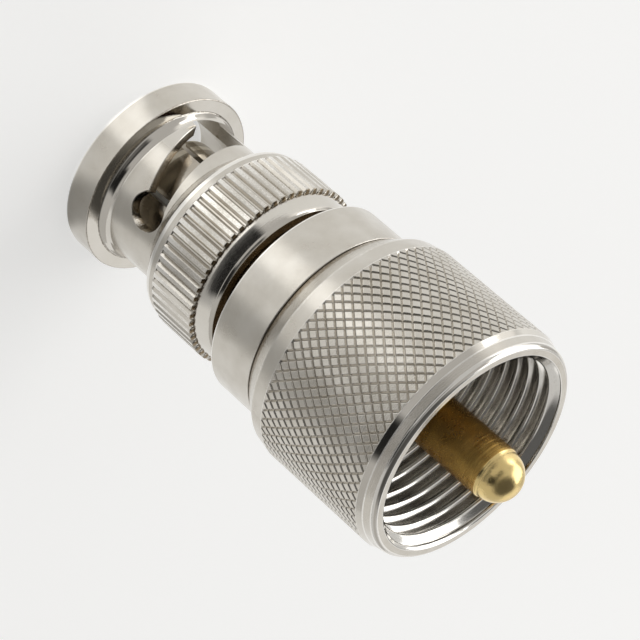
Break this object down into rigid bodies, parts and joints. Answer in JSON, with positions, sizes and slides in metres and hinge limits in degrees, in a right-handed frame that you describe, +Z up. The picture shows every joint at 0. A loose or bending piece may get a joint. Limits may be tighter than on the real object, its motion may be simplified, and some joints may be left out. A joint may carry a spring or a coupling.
{
  "type": "coaxial adapter, uhf plug to bayonet plug",
  "caption": "Nickel-plated coaxial adapter with a knurled threaded coupling nut round a domed gilt pin at one end and a sprung bayonet sleeve at the other.",
  "frame": {"origin": "centre of the front face of the bayonet flange, on which the adapter stands", "axes": "+Z up the common axis of both plugs, from the bayonet mouth to the tip of the big pin; the front, from which the picture looks down, is -Y"},
  "size_m": [0.0182, 0.0182, 0.0386],
  "materials": {
    "nickel": "satin nickel plate on turned brass",
    "bright_nickel": "bright nickel plate on spring bronze",
    "gilt": "gold plate on turned brass, polished at the tip",
    "white_insulator": "waxy white fluoroplastic",
    "gasket_rubber": "matt silicone rubber",
    "spring_steel": "plated spring strip"
  },
  "bodies": {
    "adapter": {"adapter_body": "nickel", "uhf_insulator": "white_insulator", "uhf_pin": "gilt", "bayonet_plug_body": "nickel", "outer_contact": "bright_nickel", "gasket": "gasket_rubber", "bayonet_insulator": "white_insulator", "bayonet_pin": "gilt", "wave_washer_1": "spring_steel", "wave_washer_2": "spring_steel"},
    "nut_ring": {"nut_snap_ring": "spring_steel"},
    "nut": {"coupling_nut": "nickel"},
    "washer": {"thrust_washer": "spring_steel"},
    "sleeve": {"bayonet_sleeve": "nickel"}
  },
  "joints": [
    {"name": "nut_slide", "type": "slide", "parent": "adapter", "child": "nut_ring", "axis": [0, 0, 1], "range_m": [0, 0.0012]},
    {"name": "nut_spin", "type": "hinge", "parent": "nut_ring", "child": "nut", "pos_m": [0, 0, 0.0276], "axis": [0, 0, 1], "continuous": true},
    {"name": "sleeve_slide", "type": "slide", "parent": "adapter", "child": "washer", "axis": [0, 0, -1], "range_m": [0, 0.0008], "stiffness_N_per_m": 6000, "springref_m": -0.0005, "deforming": ["wave_washer_1", "wave_washer_2"]},
    {"name": "sleeve_spin", "type": "hinge", "parent": "washer", "child": "sleeve", "pos_m": [0, 0, 0.0077], "axis": [0, 0, 1], "continuous": true}
  ]
}
